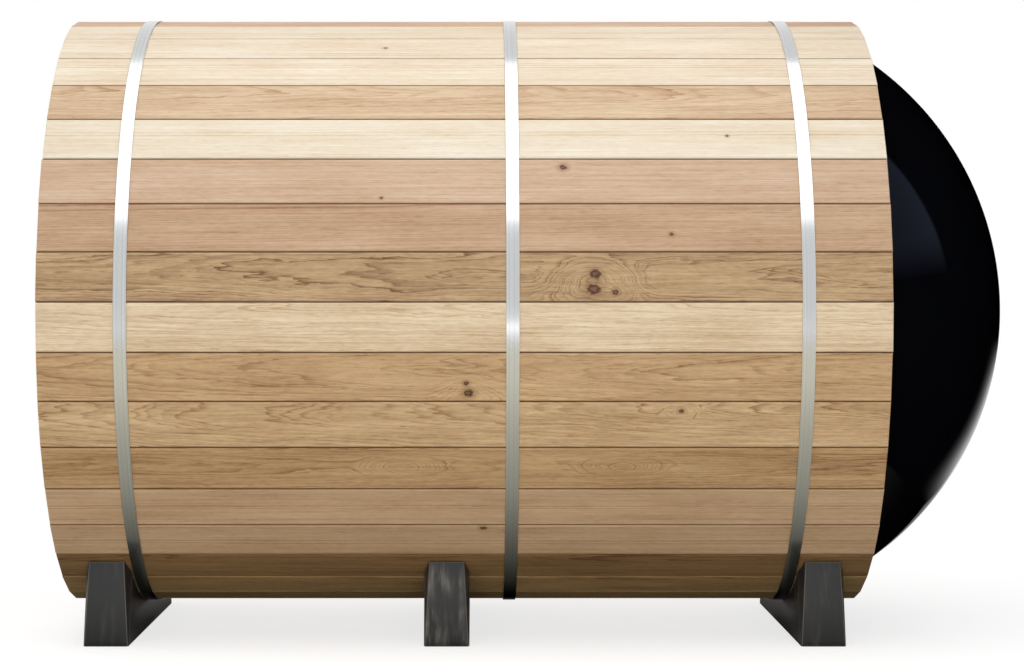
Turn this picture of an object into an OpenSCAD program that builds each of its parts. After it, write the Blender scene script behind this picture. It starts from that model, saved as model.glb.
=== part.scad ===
// Barrel sauna: forty cedar staves held by three steel bands on three moulded
// cradles, with a plank wall and door at one end and an acrylic dome at the other.
// +X runs along the barrel towards the dome, +Z is up, and the ground is z = 0.
// The origin is on the ground, half way between the door end and the dome's tip.

/* [Barrel] */
// Diameter across the flat outer faces of the staves
barrel_d = 1828.8; // [1600:0.1:2400]
// Length of the staves
barrel_len = 2438; // [1800:1:3600]
// Thickness of a stave
stave_t = 38; // [30:1:60]
// Number of staves, a whole number for each of the ten groups
stave_count = 40; // [30:10:50]
// Angle of the joint nearest the front, above the horizontal through the axis
stave_turn = 1.6; // [-4:0.1:4]
// Clearance between the edges of two staves
stave_gap = 0.4; // [0.2:0.1:1]
// Leg of the chamfer that makes the V groove at each joint
groove = 2.5; // [1:0.5:4]
// Radius of the bead on one edge of a stave
bead_r = 7; // [5:0.5:9]

/* [Bands] */
// Width of a steel band
band_w = 38; // [25:1:60]
// Thickness of a steel band
band_t = 1.5; // [1:0.1:3]
// Clearance along the barrel between an outer band and its cradle
band_clear = 4; // [2:0.5:20]
// Place of the middle band, towards the dome from the middle of the barrel
band_mid = 138; // [40:1:300]
// Gap between the two lugs of a band
lug_gap = 26; // [15:1:40]
// Height of a lug
lug_h = 34; // [25:1:50]
// Angle of the lugs, round from the front over the top and down the back
lug_turn = 217; // [200:1:225]

/* [Cradles] */
// Width of a cradle along the barrel
cradle_w = 136; // [100:1:150]
// Distance of each outer cradle's middle from the ends of the staves
cradle_inset = 149; // [100:1:300]
// Place of the middle cradle, towards the door from the middle of the barrel
cradle_mid = 54; // [0:1:150]
// Thickness of a cradle below the barrel
cradle_t = 84; // [60:1:150]
// Half the depth of a cradle at the ground
cradle_foot = 552; // [480:1:640]
// Half the depth of a cradle at its tips
cradle_tip = 534; // [450:1:600]
// Flat land between the tip of a cradle and the barrel
cradle_land = 6; // [3:1:12]
// Width of a cradle's end face at the ground
nose_foot_w = 131; // [100:1:150]
// Width of a cradle's end face at its tip
nose_tip_w = 104; // [80:1:140]
// Depth of the bevels beside a cradle's end face at its tip
nose_depth = 70; // [30:1:120]

/* [Dome] */
// Width of the flange round the dome
flange_w = 26; // [15:1:60]
// Rise of the dome above its flange
dome_rise = 510; // [300:1:700]
// Thickness of the acrylic
dome_t = 8; // [5:1:12]
// How far the flange lies inside the ends of the staves
dome_recess = 40; // [15:1:80]
// Width of the wooden ring that carries the dome
ring_w = 116; // [80:1:160]
// Thickness of the wooden ring
ring_t = 38; // [25:1:60]
// Thickness of the ring that clamps the flange
clamp_t = 3; // [2:0.5:6]

/* [Door end] */
// How far the end wall lies inside the ends of the staves
wall_recess = 72; // [60:1:120]
// Thickness of the end wall
wall_t = 38; // [28:1:50]
// Width of the door leaf
door_w = 590; // [480:1:640]
// Least width of wall left at a corner of the door frame
wall_margin = 26; // [10:1:80]
// Thickness of the door leaf
door_t = 40; // [30:1:50]
// Width of the door frame's members
jamb_w = 45; // [35:1:60]
// Depth of the door frame
jamb_d = 70; // [50:1:100]
// Gap round the door leaf
door_gap = 3; // [2:0.5:6]
// Width of the leaf's stiles and top rail
stile_w = 95; // [60:1:140]
// Height of the leaf's bottom rail
rail_h = 170; // [100:1:300]
// Thickness of the door's glass
glass_t = 6; // [4:1:10]

/* [Hidden] */
GROUPS = ["staves_ridge", "staves_roof_front", "staves_upper_front", "staves_lower_front",
    "staves_belly_front", "staves_keel", "staves_belly_back", "staves_lower_back",
    "staves_upper_back", "staves_roof_back"];

$fn = 96;
seat = 0.3;                       // clearance of a piece that rests on another
past = 20;                        // how far a cutting shape runs past what it cuts

// Staves
step = 360 / stave_count;
stave_out = barrel_d / 2;
stave_in = stave_out - stave_t;
corner_r = stave_out / cos(step / 2);
per_group = stave_count / len(GROUPS);
ridge_joint = round((90 - stave_turn) / step);

// Stations along the barrel
dome_reach = dome_rise - dome_recess;
overall = barrel_len + dome_reach;
x_door_end = -overall / 2;
x_dome_end = x_door_end + barrel_len;
x_mid = x_door_end + barrel_len / 2;

// Cradles, and the bands beside them
cradle_out = barrel_len / 2 - cradle_inset;
band_out = cradle_out - cradle_w / 2 - band_clear - band_w / 2;
saddle_r = corner_r + seat;
band_r = corner_r + seat;
axis_z = cradle_t + saddle_r;
land_y = cradle_tip - cradle_land;
tip_z = axis_z - sqrt(saddle_r * saddle_r - land_y * land_y);

// Dome
x_flange = x_dome_end - dome_recess;
bore_r = stave_in - 0.5;          // the largest round that goes in between the staves
flange_r = bore_r - 1;
dome_r = flange_r - flange_w;
dome_ball = (dome_r * dome_r + dome_rise * dome_rise) / (2 * dome_rise);
x_ring = x_flange - dome_t - seat;
ring_parts = 8;

// Door end
x_wall = x_door_end + wall_recess;
frame_in_w = door_w + 2 * door_gap;
frame_w = frame_in_w + 2 * jamb_w;
frame_h = 2 * sqrt(pow(bore_r - wall_margin, 2) - pow(frame_w / 2, 2));
door_h = frame_h - 2 * jamb_w - 2 * door_gap;
lite_w = door_w - 2 * stile_w;
lite_h = door_h - stile_w - rail_h;
lite_z = axis_z - door_h / 2 + rail_h;
bead_w = 16;
glass_bite = 10;
knuckle_r = 8;
knuckle_h = 90;
hinge_leaf_t = 3;
hinge_leaf_w = 30;
pull_h = 320;
pull_r = 15;
pull_out = 32;
pull_y = -door_w / 2 + stile_w / 2;

cedar = "#d8b98c";
cedar_dark = "#b98f63";
steel = "#c3c6c8";
black = "#2b2b2d";
smoke = "#0b0c10";

// Draws a shape of the (Y, Z) plane as a bar along X
module along_x(x, length)
    translate([x, 0, 0]) rotate([90, 0, 90]) linear_extrude(length) children();

// Half the width of a stave at a distance from the axis
function half_at(r) = r * tan(step / 2) - stave_gap / 2;

// Cross-section of a stave that points straight up from the axis
module stave_section() {
    bead_v = stave_out - stave_t / 2;
    difference() {
        union() {
            polygon([
                [-half_at(stave_in), stave_in],
                [half_at(stave_in), stave_in],
                [half_at(stave_out - groove), stave_out - groove],
                [half_at(stave_out) - groove, stave_out],
                [groove - half_at(stave_out), stave_out],
                [-half_at(stave_out - groove), stave_out - groove]
            ]);
            translate([half_at(bead_v), bead_v]) circle(bead_r);
        }
        translate([-half_at(bead_v) - stave_gap, bead_v]) circle(bead_r + stave_gap);
    }
}

// Turns a section that points up to an angle measured from the front
module from_front(angle) translate([0, axis_z]) rotate(90 - angle) children();

module staves(group)
    color(cedar)
        for (k = [0 : per_group - 1]) {
            joint = ridge_joint - floor(per_group / 2) - group * per_group + k;
            along_x(x_door_end, barrel_len)
                from_front(stave_turn + (joint + 0.5) * step) stave_section();
        }

// A band lies round the corners of the staves and ends in two lugs with a gap between
module band_section() {
    difference() {
        translate([0, axis_z]) circle(band_r + band_t, $fn = 360);
        translate([0, axis_z]) circle(band_r, $fn = 360);
        from_front(lug_turn) translate([-lug_gap / 2, band_r - past]) square([lug_gap, 2 * past]);
    }
    for (side = [-1, 1])
        from_front(lug_turn)
            translate([side * (lug_gap + band_t) / 2 - band_t / 2, band_r])
                square([band_t, lug_h]);
}

module band(x) color(steel) along_x(x_mid + x - band_w / 2, band_w) band_section();

// Side view of a cradle, with the round saddle that takes the barrel
module cradle_section()
    difference() {
        polygon([[-cradle_foot, 0], [cradle_foot, 0], [cradle_tip, tip_z], [-cradle_tip, tip_z]]);
        translate([0, axis_z]) circle(saddle_r, $fn = 360);
    }

// A cradle is a plain moulding whose two end faces narrow towards the tips
module cradle(x) {
    bevel_turn = atan((cradle_w - nose_tip_w) / 2 / nose_depth);
    narrowing = (nose_foot_w - nose_tip_w) / 2 + (cradle_foot - cradle_tip) * tan(bevel_turn);
    bevel_lean = atan(narrowing * cos(bevel_turn) / tip_z);
    color(black)
        difference() {
            along_x(x_mid + x - cradle_w / 2, cradle_w) cradle_section();
            for (end = [-1, 1], side = [-1, 1])
                translate([x_mid + x + side * nose_foot_w / 2, end * cradle_foot, 0])
                    mirror([side < 0 ? 1 : 0, 0, 0]) mirror([0, end > 0 ? 1 : 0, 0])
                        rotate([0, 0, -bevel_turn]) rotate([0, -bevel_lean, 0])
                            translate([0, -nose_depth, -past])
                                cube([cradle_w, 4 * nose_depth, tip_z + 3 * past]);
        }
}

// Half of the dome's outline in its own (radius, height) plane, flange at height 0
module dome_outline()
    intersection() {
        union() {
            difference() {
                translate([0, dome_rise - dome_ball]) circle(dome_ball, $fn = 360);
                translate([0, dome_rise - dome_ball]) circle(dome_ball - dome_t, $fn = 360);
            }
            translate([dome_r - dome_t, -dome_t]) square([flange_r - dome_r + dome_t, dome_t]);
        }
        translate([0, -dome_t]) square([flange_r, dome_rise + dome_t]);
    }

// Turns a profile about the barrel's axis, its height running towards the dome's tip
module about_axis(x) translate([x, 0, axis_z]) rotate([0, 90, 0]) rotate_extrude() children();

module dome() color(smoke) about_axis(x_flange) dome_outline();

module dome_clamp_ring()
    color(steel)
        about_axis(x_flange + seat)
            translate([dome_r + 4, 0]) square([flange_r - dome_r - 4, clamp_t]);

// The carrier ring is cut from short boards, set end to end
module dome_carrier_ring()
    color(cedar_dark)
        difference() {
            about_axis(x_ring - ring_t)
                translate([bore_r - ring_w, 0]) square([ring_w, ring_t]);
            for (k = [0 : ring_parts - 1])
                translate([x_ring - ring_t - past, 0, axis_z])
                    rotate([(k + 0.5) * 360 / ring_parts, 0, 0])
                        translate([0, -stave_gap / 2, 0])
                            cube([ring_t + 2 * past, stave_gap, barrel_d / 2]);
        }

// The round end wall, of which each wall piece keeps its own part
module wall_disc() along_x(x_wall, wall_t) translate([0, axis_z]) circle(bore_r, $fn = 360);

module wall_part(y, z, w, h)
    color(cedar)
        intersection() {
            wall_disc();
            translate([x_wall - past, y, z]) cube([wall_t + 2 * past, w, h]);
        }

module end_wall_side(side) {
    wide = bore_r - frame_w / 2 - seat;
    wall_part(side > 0 ? frame_w / 2 + seat : -frame_w / 2 - seat - wide - past,
        axis_z - barrel_d / 2, wide + past, barrel_d);
}

module end_wall_over_door()
    wall_part(-frame_w / 2, axis_z + frame_h / 2 + seat, frame_w, barrel_d / 2);

module end_wall_under_door()
    wall_part(-frame_w / 2, axis_z - frame_h / 2 - seat - barrel_d / 2, frame_w, barrel_d / 2);

module door_jamb(side)
    color(cedar_dark)
        translate([x_wall, side * (frame_w - jamb_w) / 2 - jamb_w / 2, axis_z - frame_h / 2])
            cube([jamb_d, jamb_w, frame_h]);

module door_cross_member(side)
    color(cedar_dark)
        translate([x_wall, -frame_in_w / 2 + seat, axis_z + side * (frame_h - jamb_w) / 2 - jamb_w / 2])
            cube([jamb_d, frame_in_w - 2 * seat, jamb_w]);

module door_leaf()
    color(cedar)
        difference() {
            translate([x_wall, -door_w / 2, axis_z - door_h / 2]) cube([door_t, door_w, door_h]);
            translate([x_wall - past, -lite_w / 2, lite_z])
                cube([door_t + 2 * past, lite_w, lite_h]);
            translate([x_wall + (door_t - glass_t) / 2 - seat, -lite_w / 2 - glass_bite - seat,
                    lite_z - glass_bite - seat])
                cube([door_t, lite_w + 2 * (glass_bite + seat), lite_h + 2 * (glass_bite + seat)]);
        }

module door_glass()
    color("#4a4038")
        translate([x_wall + (door_t - glass_t) / 2, -lite_w / 2 - glass_bite, lite_z - glass_bite])
            cube([glass_t, lite_w + 2 * glass_bite, lite_h + 2 * glass_bite]);

// Wooden beads hold the glass from the inside of the leaf
module door_glass_beads() {
    x = x_wall + (door_t + glass_t) / 2 + seat;
    deep = (door_t - glass_t) / 2 - seat;
    wide = lite_w + 2 * glass_bite;
    high = lite_h + 2 * glass_bite;
    color(cedar_dark)
        translate([x, 0, lite_z - glass_bite])
            difference() {
                translate([0, -wide / 2, 0]) cube([deep, wide, high]);
                translate([-past, -wide / 2 + bead_w, bead_w])
                    cube([deep + 2 * past, wide - 2 * bead_w, high - 2 * bead_w]);
            }
}

// Each hinge is a knuckle in front of the gap, with a plate on the leaf and one on the jamb
module door_hinges() {
    y = door_w / 2 + door_gap / 2;
    color(steel)
        for (z = [-door_h / 2 + 170, 0, door_h / 2 - 170])
            translate([x_wall - seat, y, axis_z + z]) {
                translate([-hinge_leaf_t, -hinge_leaf_w, -knuckle_h / 2])
                    cube([hinge_leaf_t, 2 * hinge_leaf_w, knuckle_h]);
                translate([-knuckle_r, 0, -knuckle_h / 2]) cylinder(knuckle_h, knuckle_r, knuckle_r);
            }
}

// A straight round pull on two posts
module door_handle()
    color(cedar_dark) {
        translate([x_wall - seat - pull_out, pull_y, axis_z - pull_h / 2])
            cylinder(pull_h, pull_r, pull_r);
        for (z = [-pull_h / 2 + 50, pull_h / 2 - 50])
            translate([x_wall - seat - pull_out, pull_y, axis_z + z])
                rotate([0, 90, 0]) cylinder(pull_out, pull_r * 0.6, pull_r * 0.6);
    }

for (g = [0 : len(GROUPS) - 1])
    staves(g);
band(-band_out);  // band_door_end
band(band_mid);  // band_middle
band(band_out);  // band_dome_end
cradle(-cradle_out);  // cradle_door_end
cradle(-cradle_mid);  // cradle_middle
cradle(cradle_out);  // cradle_dome_end
dome();
dome_clamp_ring();
dome_carrier_ring();
end_wall_side(-1);  // end_wall_front
end_wall_side(1);  // end_wall_back
end_wall_over_door();
end_wall_under_door();
door_jamb(-1);  // door_jamb_front
door_jamb(1);  // door_jamb_back
door_cross_member(1);  // door_head
door_cross_member(-1);  // door_sill
door_leaf();
door_glass();
door_glass_beads();
door_hinges();
door_handle();
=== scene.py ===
# %% [markdown]
# # A barrel sauna, dressed around its CAD frame
#
# The object is a sauna built like a barrel that lies on its side: forty cedar staves, three steel
# bands, three moulded cradles, a plank wall with a door at one end and a dome of smoked acrylic at
# the other. The CAD model already holds every size, so this lesson only has to give each piece its
# real edges, grain and gloss. Everything is in metres and stays where the CAD model puts it.

# %% Load the frame
import math
import random

import bmesh
import bpy
from mathutils import Matrix, Vector, noise


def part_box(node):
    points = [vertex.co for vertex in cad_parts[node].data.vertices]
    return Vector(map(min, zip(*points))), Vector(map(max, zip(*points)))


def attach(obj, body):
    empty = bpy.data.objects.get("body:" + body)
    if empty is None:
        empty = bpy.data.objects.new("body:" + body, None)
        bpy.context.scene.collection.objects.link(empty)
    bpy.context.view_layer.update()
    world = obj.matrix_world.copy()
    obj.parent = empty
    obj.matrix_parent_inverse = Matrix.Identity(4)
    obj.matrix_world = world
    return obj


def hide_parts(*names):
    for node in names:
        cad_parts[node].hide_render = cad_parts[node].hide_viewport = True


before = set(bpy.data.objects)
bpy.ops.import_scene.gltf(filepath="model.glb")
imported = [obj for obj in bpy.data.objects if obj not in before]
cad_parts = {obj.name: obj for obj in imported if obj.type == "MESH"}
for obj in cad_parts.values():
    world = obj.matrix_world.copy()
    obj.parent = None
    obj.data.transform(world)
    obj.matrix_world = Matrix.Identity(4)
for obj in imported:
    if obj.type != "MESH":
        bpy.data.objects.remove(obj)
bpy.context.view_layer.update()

# %% [markdown]
# ## Where the barrel is
#
# A few places and sizes drive everything else. They are read from the CAD nodes, so that the looks
# follow if the CAD model changes. The staves run along X. Their outer faces are flats that lie
# round a circle, and the bands touch the corners between those flats.

# %% Stations and radii
MM = 0.001
STAVES = 40
STEP = math.radians(360 / STAVES)
TURN = math.radians(1.6)
STAVE_T = 38 * MM
BAND_T = 1.5 * MM
SEAT = 0.3 * MM

stave_low, stave_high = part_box("staves_keel")
X_DOOR, X_DOME = stave_low.x, stave_high.x
X_MID = (X_DOOR + X_DOME) / 2
LENGTH = X_DOME - X_DOOR

band_low, band_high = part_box("band_middle")
AXIS_Z = (band_low.z + band_high.z) / 2
BAND_R = (band_high.z - band_low.z) / 2 - BAND_T
OUTER = (BAND_R - SEAT) * math.cos(STEP / 2)
print(f"barrel {LENGTH:.3f} long, {2 * OUTER:.4f} across the flats, axis at {AXIS_Z:.4f}")

# %% [markdown]
# ## The camera
#
# The sauna is seen square from the side, from about eight metres away and at the height of the
# barrel's axis. To place it in the frame the lens is shifted a little and the camera isn't turned:
# turning it would make the level joints of the staves lean.

# %% Camera
CAMERA_AWAY = 8.16
camera_data = bpy.data.cameras.new("camera")
camera = bpy.data.objects.new("camera", camera_data)
bpy.context.collection.objects.link(camera)
camera.location = (X_MID + 0.023, -CAMERA_AWAY, AXIS_Z + 0.021)
camera.rotation_euler = (math.radians(90), 0, 0)
camera_data.sensor_width = 36
camera_data.lens = 89.75
camera_data.shift_x = 0.0386
camera_data.shift_y = -0.0272
bpy.context.scene.camera = camera
print("camera at", tuple(round(c, 3) for c in camera.location))

# %% [markdown]
# ## Helpers for materials
#
# Blender's shaders work in linear light, while a paint chart gives sRGB hex values. One function
# turns one into the other. Another adds a node, with its properties and its inputs, in one call.
# Inputs are given in order or by name, and each may be a number, a colour, a node (its first output
# is used) or a pair of a node and the name of an output.

# %% Colours and nodes
def linear(hex_colour):
    """The linear RGBA colour of an sRGB hex value."""
    channels = [int(hex_colour[i : i + 2], 16) / 255 for i in (1, 3, 5)]
    return [c / 12.92 if c <= 0.04045 else ((c + 0.055) / 1.055) ** 2.4 for c in channels] + [1]


def feed(node, inputs):
    """Sets or links a node's inputs, given as a list in order or as a dict by name."""
    for name, value in inputs.items() if isinstance(inputs, dict) else enumerate(inputs):
        source = value if isinstance(value, tuple) else (value, 0)
        if isinstance(source[0], bpy.types.Node):
            node.id_data.links.new(source[0].outputs[source[1]], node.inputs[name])
        else:
            node.inputs[name].default_value = value


def add(tree, kind, inputs=(), **settings):
    """Adds a shader node with its properties and its inputs."""
    node = tree.nodes.new("ShaderNode" + kind)
    for name, value in settings.items():
        setattr(node, name, value)
    feed(node, inputs)
    return node


def material(name, kind="BsdfPrincipled"):
    """A new material that shows one shader. Returns (material, its node tree, the shader)."""
    made = bpy.data.materials.new(name)
    made.use_nodes = True
    made.node_tree.nodes.clear()
    surface = add(made.node_tree, kind)
    add(made.node_tree, "OutputMaterial", {"Surface": surface})
    return made, made.node_tree, surface


SMOOTH = {"interpolation_type": "SMOOTHSTEP"}
print("sRGB #808080 is", round(linear("#808080")[0], 3), "in linear light")

# %% [markdown]
# ## Western red cedar
#
# Cedar grain is the trace of growth rings, which are nested cones round the heart of the log, cut
# by the flat face of a board. So the pattern is made the way the saw makes it: every board carries
# its own place in a log as an attribute, and the shader measures how far a point is from the heart.
# Far from the heart the rings show as straight lines, and where the face runs almost along a ring
# they open into tall arches. The end grain comes out right as well, with no extra work.
#
# Each board also carries its two wood colours, the spacing and strength of its rings, and up to
# three knots. One material then serves every board on the sauna.

# %% Cuts of cedar
# early and late: the colours of the pale and the dark wood of a year
# heart: how far the log's heart is from the board's middle (across, below the face), in mm
# tilt: how much the heart drifts over a metre of board (across, below), in mm
# pitch: ring spacing in mm; strength: how dark the late wood is; wave: how far the rings wander, mm
CUTS = {  # early, late, heart, tilt, pitch, strength, wave
    "cream": ("#f7ecd9", "#d3b48c", (150, 60), (9, 4), 3.2, 0.5, 8),
    "ivory": ("#f6eddc", "#d6bb93", (-170, 50), (6, 3), 3.4, 0.4, 7),
    "tan": ("#e3caaa", "#a97c52", (40, 85), (10, 22), 4.0, 0.6, 22),
    "pink": ("#dfc5aa", "#b1835e", (140, 55), (7, 6), 3.6, 0.5, 9),
    "rose": ("#d6b797", "#a0724e", (-130, 60), (10, 8), 3.6, 0.5, 9),
    "brown": ("#d5b68c", "#74492a", (12, 100), (5, 30), 3.4, 0.65, 30),
    "straw": ("#fae6c4", "#b98f5f", (60, 90), (10, 22), 3.6, 0.5, 24),
    "gold": ("#e3bf90", "#8a5c33", (25, 95), (5, 40), 3.8, 0.5, 22),
    "amber": ("#edcb9c", "#946538", (40, 80), (8, 45), 3.6, 0.55, 26),
    "honey": ("#dab483", "#84562d", (15, 90), (4, 38), 3.4, 0.6, 24),
    "fawn": ("#c3a16d", "#75522f", (70, 80), (6, 16), 3.8, 0.6, 14),
    "umber": ("#a28054", "#634226", (40, 80), (6, 20), 4.2, 0.7, 16),
    "smooth": ("#e5c39b", "#ab8157", (160, 70), (4, 3), 3.0, 0.5, 8),
}
print(len(CUTS), "cuts of cedar")

# %% [markdown]
# The cedar shader works in the log's frame, in metres. It bends the log with noise, lets the rings
# swing round the knots, takes the distance to the heart, and turns each year into a pale band with
# a thin dark line at its outer edge. No two years are alike, so the spacing and the strength of the
# lines wander. Fibre, short dark flecks and broad streaks, all drawn out along the grain, break the
# evenness. The V grooves, which the attribute called groove marks, are painted dark brown: partly
# dust that settles there, partly painted shade.

# %% The cedar material
def cedar_material():
    """Planed, unfinished western red cedar: satin, with no varnish."""
    made, tree, surface = material("planed_red_cedar")
    marks = {name: add(tree, "Attribute", attribute_name=name) for name in
        ("log", "spot", "figure", "knot_a", "knot_b", "knot_c", "early", "late", "groove")}

    def grain_noise(place, along, across, detail, rough=0.5):
        """Noise drawn out along the grain; along and across are the sizes of a patch in mm."""
        per_metre = (1000 / along, 1000 / across, 1000 / across)
        stretched = add(tree, "VectorMath", [place, per_metre], operation="MULTIPLY")
        return add(tree, "TexNoise",
            {"Vector": stretched, "Scale": 1, "Detail": detail, "Roughness": rough})

    log, spot = (marks["log"], "Vector"), (marks["spot"], "Vector")
    figure = add(tree, "SeparateXYZ", [(marks["figure"], "Vector")])
    pitch, strength, wave = (figure, "X"), (figure, "Y"), (figure, "Z")

    # noise bends the log, from bends half a metre long down to small ripples
    bend = (grain_noise(log, 520, 60, 5, 0.52), "Color")
    bend = add(tree, "VectorMath", [bend, (0.5, 0.5, 0.5)], operation="SUBTRACT")
    bend = add(tree, "VectorMath", {0: bend, "Scale": wave}, operation="SCALE")
    bent = add(tree, "VectorMath", [log, bend], operation="ADD")
    heart = add(tree, "SeparateXYZ", [bent])

    # near a knot the rings part sideways, and they dip, which closes them into ovals round it
    ring_y, ring_z = (heart, "Y"), (heart, "Z")
    ragged = grain_noise(spot, 14, 9, 3)
    distances = []
    for name in ("knot_a", "knot_b", "knot_c"):
        knot = (marks[name], "Vector")
        size = (add(tree, "SeparateXYZ", [knot]), "Z")
        radius = add(tree, "Math", [size], operation="ABSOLUTE")
        radius = add(tree, "Math", [radius, 0.0001], operation="MAXIMUM")
        apart = add(tree, "VectorMath", [spot, knot], operation="SUBTRACT")
        across = (add(tree, "SeparateXYZ", [apart]), "Y")
        apart = add(tree, "VectorMath", [apart, radius], operation="DIVIDE")
        round_it, along_it = [
            (add(tree, "VectorMath", [
                add(tree, "VectorMath", [apart, (1 / longer, 1, 0)], operation="MULTIPLY")],
                operation="LENGTH"), "Value")
            for longer in (1.3, 2.6)]
        shove = add(tree, "MapRange", [round_it, 0.3, 4.5, -0.6, 0.0], **SMOOTH)
        ring_y = add(tree, "Math", [across, shove, ring_y], operation="MULTIPLY_ADD")
        dip = add(tree, "MapRange", [along_it, 0.0, 6.0, 3.2, 0.0], **SMOOTH)
        ring_z = add(tree, "Math", [size, dip, ring_z], operation="MULTIPLY_ADD")
        rim = add(tree, "Math", [(ragged, "Fac"), 1.5, round_it], operation="MULTIPLY_ADD")
        rim = add(tree, "Math", [rim, 0.75], operation="SUBTRACT")
        blind = add(tree, "Math", [size, 0.0], operation="LESS_THAN")
        distances.append(add(tree, "Math", [blind, 9.0, rim], operation="MULTIPLY_ADD"))
    away = add(tree, "CombineXYZ", [0.0, ring_y, ring_z])
    away = (add(tree, "VectorMath", [away], operation="LENGTH"), "Value")

    # a year is pale, darkens over its last half and ends in a sharp line
    count = add(tree, "Math", [away, pitch], operation="DIVIDE")
    wander = add(tree, "Math", [count, 0.45], operation="MULTIPLY")
    wander = add(tree, "TexNoise", {"W": wander, "Scale": 1, "Detail": 1}, noise_dimensions="1D")
    count = add(tree, "Math", [(wander, "Fac"), 2.2, count], operation="MULTIPLY_ADD")
    part = add(tree, "Math", [count], operation="FRACT")
    line = add(tree, "MapRange", [part, 0.3, 0.93, 0, 1], **SMOOTH)
    line = add(tree, "Math", [line, 1.7], operation="POWER")
    ends = add(tree, "MapRange", [part, 0.93, 1, 1, 0], **SMOOTH)
    year = add(tree, "Math", [count], operation="FLOOR")
    year = add(tree, "TexWhiteNoise", {"W": year}, noise_dimensions="1D")
    year = add(tree, "Math", [(year, "Value"), 0.8, 0.2], operation="MULTIPLY_ADD")
    for factor in (ends, year, strength):
        line = add(tree, "Math", [line, factor], operation="MULTIPLY")

    # short dark flecks, then fibre, broad streaks, mottle and patches, each centred on zero
    flecks = grain_noise(bent, 42, 3.6, 3, 0.6)
    fibre = grain_noise(bent, 50, 1.4, 3, 0.6)
    tone = add(tree, "MapRange", [(flecks, "Fac"), 0.53, 0.75, 0.0, 0.3], **SMOOTH)
    tone = add(tree, "Math", [tone, line], operation="ADD")
    for pattern, much in ((fibre, 0.4), (grain_noise(bent, 380, 7, 3), 0.7),
            (grain_noise(bent, 32, 9, 4, 0.6), 0.45), (grain_noise(bent, 420, 70, 3), 0.8)):
        tone = add(tree, "Math", [(pattern, "Fac"), much, tone], operation="MULTIPLY_ADD")
    tone = add(tree, "Clamp", [add(tree, "Math", [tone, 0.9], operation="SUBTRACT")])
    wood = add(tree, "MixRGB", [tone, (marks["early"], "Color"), (marks["late"], "Color")])

    # a knot has a brown halo, and a body whose rim is darker than its heart
    for far in distances:
        halo = add(tree, "MapRange", [far, 0.9, 3.2, 0.45, 0.0], **SMOOTH)
        wood = add(tree, "MixRGB", [halo, wood, linear("#86603f")])
        rim = add(tree, "MapRange", [far, 0.2, 0.8, 0, 1], **SMOOTH)
        body = add(tree, "MixRGB", [rim, linear("#7a5644"), linear("#452a1f")])
        inside = add(tree, "MapRange", [far, 0.8, 1.35, 0.92, 0.0], **SMOOTH)
        wood = add(tree, "MixRGB", [inside, wood, body])

    # grooves and the hidden edges of the boards are painted dark brown: dust, and painted shade
    wood = add(tree, "MixRGB", [(marks["groove"], "Fac"), wood, linear("#573a1d")])
    rough = add(tree, "MapRange", {"Value": (fibre, "Fac"), "To Min": 0.5, "To Max": 0.72})
    height = add(tree, "Math", [line, -0.6, (fibre, "Fac")], operation="MULTIPLY_ADD")
    height = add(tree, "Math", [height, (flecks, "Fac")], operation="ADD")
    bump = add(tree, "Bump", {"Strength": 0.3, "Distance": 0.3 * MM, "Height": height})
    feed(surface, {"Base Color": wood, "Roughness": rough, "Normal": bump, "Specular IOR Level": 0.3})
    return made


CEDAR = cedar_material()
print(CEDAR.name, "has", len(CEDAR.node_tree.nodes), "nodes")

# %% [markdown]
# ## Short ways to the operators
#
# The operators of bmesh take many arguments, and their defaults aren't the editor's. So the few
# that come back on almost every piece each get a short function here: moving, stretching and
# turning points, welding, cutting by a plane, picking the points out of a result, and rounding.
# `ease` rounds whole boards, where bevels meet in the corners and leave points on top of each
# other, so it also welds.

# %% Moving, cutting and rounding
def move(work, by, verts=None):
    """Moves points, or all of them."""
    bmesh.ops.translate(work, vec=by, verts=verts or work.verts)


def stretch(work, by, verts=None):
    """Scales points, or all of them, from the origin."""
    bmesh.ops.scale(work, vec=by, verts=verts or work.verts)


def weld(work, distance=0.01 * MM):
    """Merges points that lie closer than a distance."""
    bmesh.ops.remove_doubles(work, verts=work.verts, dist=distance)


def turn(work, degrees, axis, verts=None):
    """Turns points, or all of them, about an axis through the origin."""
    bmesh.ops.rotate(work, matrix=Matrix.Rotation(math.radians(degrees), 3, axis),
        verts=verts or work.verts)


def cut_plane(work, point, outwards, clear=False):
    """Cuts by a plane, and if clear is true takes away what lies outside it."""
    bmesh.ops.bisect_plane(work, geom=work.verts[:] + work.edges[:] + work.faces[:],
        plane_co=point, plane_no=outwards, clear_outer=clear)


def saw_off(work, point, outwards):
    """Cuts off what lies outside a plane, and closes the sawn face."""
    cut_plane(work, point, outwards, True)
    bmesh.ops.holes_fill(work, edges=[e for e in work.edges if e.is_boundary], sides=0)


def points(geometry):
    """The vertices in what an operator gave back."""
    return [v for v in geometry if isinstance(v, bmesh.types.BMVert)]


def pull_out(work, faces, by):
    """Pulls faces out into walls, and returns the points of the far end."""
    far = points(bmesh.ops.extrude_face_region(work, geom=faces)["geom"])
    move(work, by, far)
    return far


def face_outwards(work):
    """Turns every face to the outside."""
    bmesh.ops.recalc_face_normals(work, faces=work.faces)


def bevel(work, geometry, offset, segments=2, affect="EDGES"):
    """Rounds or chamfers edges, or the corners of a flat outline."""
    return bmesh.ops.bevel(work, geom=geometry, offset=offset, offset_type="OFFSET",
        segments=segments, profile=0.5, affect=affect, material=-1, clamp_overlap=True)


def ease(work, edges, offset, segments=1):
    """Bevels edges, and welds the points that meet in the corners."""
    bevel(work, edges, offset, segments)
    weld(work, 0.005 * MM)


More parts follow.
